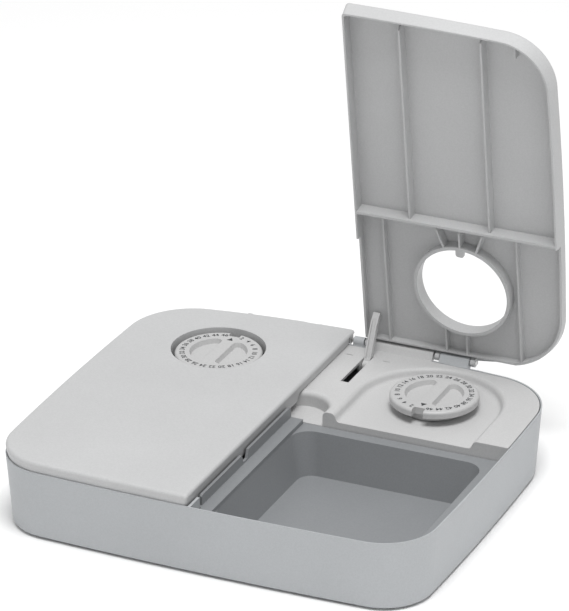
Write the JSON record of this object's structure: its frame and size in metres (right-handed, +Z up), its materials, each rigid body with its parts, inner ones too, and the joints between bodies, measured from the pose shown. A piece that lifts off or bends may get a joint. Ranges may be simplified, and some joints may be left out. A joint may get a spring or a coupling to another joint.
{
  "type": "two meal pet feeder",
  "caption": "Low pet feeder with a twin bowl food tray, two hinged lids held by timer dials, and sprung lift arms that raise each lid when its dial comes round.",
  "frame": {"origin": "centre of the bounding box in plan, at the height of the feet's undersides, with the right lid open as in the picture", "axes": "+X to the right when facing the bowls, +Y towards the hinges at the back, +Z up"},
  "size_m": [0.315, 0.2784, 0.3231],
  "materials": {
    "housing": "fine moulded texture, cool pale grey",
    "deck": "satin moulded, pale grey",
    "lid": "fine moulded texture, pale grey",
    "tray": "satin moulded, mid blue grey",
    "dial": "satin moulded, pale grey with dark printed numbers",
    "arm": "satin moulded, pale grey",
    "gear": "natural acetal",
    "works": "dark grey moulded",
    "motor": "zinc plated can",
    "steel": "plain steel",
    "contact": "nickel plated strip",
    "battery": "plain dark sleeve",
    "foot": "black rubber"
  },
  "bodies": {
    "base": {"base_shell": "housing", "deck_cover": "deck", "food_tray": "tray", "hinge_pin_center": "steel", "hinge_pins_outer": "steel", "timer_case_left": "works", "timer_case_cover_left": "works", "timer_motor_left": "motor", "battery_left": "battery", "timer_case_right": "works", "timer_case_cover_right": "works", "timer_motor_right": "motor", "battery_right": "battery", "timer_screws": "steel", "arm_pins": "steel", "arm_springs": "steel", "battery_contacts": "contact", "battery_springs": "steel", "deck_screws": "steel", "rubber_feet": "foot"},
    "lid_left_body": {"lid_left": "lid"},
    "dial_left_body": {"dial_left": "dial", "timer_shaft_left": "gear", "output_wheel_left": "gear"},
    "pinion_left_body": {"motor_pinion_left": "gear"},
    "arm_left_body": {"lift_arm_left": "arm"},
    "door_left_body": {"battery_door_left": "housing"},
    "lid_right_body": {"lid_right": "lid"},
    "dial_right_body": {"dial_right": "dial", "timer_shaft_right": "gear", "output_wheel_right": "gear"},
    "pinion_right_body": {"motor_pinion_right": "gear"},
    "arm_right_body": {"lift_arm_right": "arm"},
    "door_right_body": {"battery_door_right": "housing"}
  },
  "joints": [
    {"name": "lid_right_hinge", "type": "hinge", "parent": "base", "child": "lid_right_body", "pos_m": [0, 0.1331, 0.0537], "axis": [1, 0, 0], "range_deg": [0, 81.5], "stiffness_Nm_per_rad": 0.11, "springref_deg": -20.05},
    {"name": "lid_left_hinge", "type": "hinge", "parent": "base", "child": "lid_left_body", "pos_m": [0, 0.1331, 0.0537], "axis": [-1, 0, 0], "range_deg": [0, 81.5]},
    {"name": "lift_arm_right_pivot", "type": "hinge", "parent": "base", "child": "arm_right_body", "pos_m": [0.014, 0.113, 0.0463], "axis": [1, 0, 0], "range_deg": [0, 116.6]},
    {"name": "lift_arm_left_pivot", "type": "hinge", "parent": "base", "child": "arm_left_body", "pos_m": [-0.014, 0.113, 0.0463], "axis": [-1, 0, 0], "range_deg": [0, 116.6]},
    {"name": "dial_left_turn", "type": "hinge", "parent": "base", "child": "dial_left_body", "pos_m": [-0.082, 0.0725, 0.0544], "axis": [0, 0, 1], "continuous": true},
    {"name": "pinion_left_turn", "type": "hinge", "parent": "base", "child": "pinion_left_body", "pos_m": [-0.102, 0.0725, 0.0325], "axis": [0, 0, 1], "continuous": true},
    {"name": "battery_door_left_slide", "type": "slide", "parent": "base", "child": "door_left_body", "axis": [0, -1, 0], "range_m": [0, 0.006]},
    {"name": "dial_right_turn", "type": "hinge", "parent": "base", "child": "dial_right_body", "pos_m": [0.082, 0.0725, 0.0544], "axis": [0, 0, 1], "continuous": true},
    {"name": "pinion_right_turn", "type": "hinge", "parent": "base", "child": "pinion_right_body", "pos_m": [0.102, 0.0725, 0.0325], "axis": [0, 0, 1], "continuous": true},
    {"name": "battery_door_right_slide", "type": "slide", "parent": "base", "child": "door_right_body", "axis": [0, -1, 0], "range_m": [0, 0.006]}
  ],
  "couplings": [
    {"joint": "lift_arm_right_pivot", "follows": "lid_right_hinge", "ratio": 1.4295},
    {"joint": "lift_arm_left_pivot", "follows": "lid_left_hinge", "ratio": 1.4295},
    {"joint": "pinion_left_turn", "follows": "dial_left_turn", "ratio": -4},
    {"joint": "pinion_right_turn", "follows": "dial_right_turn", "ratio": -4}
  ]
}
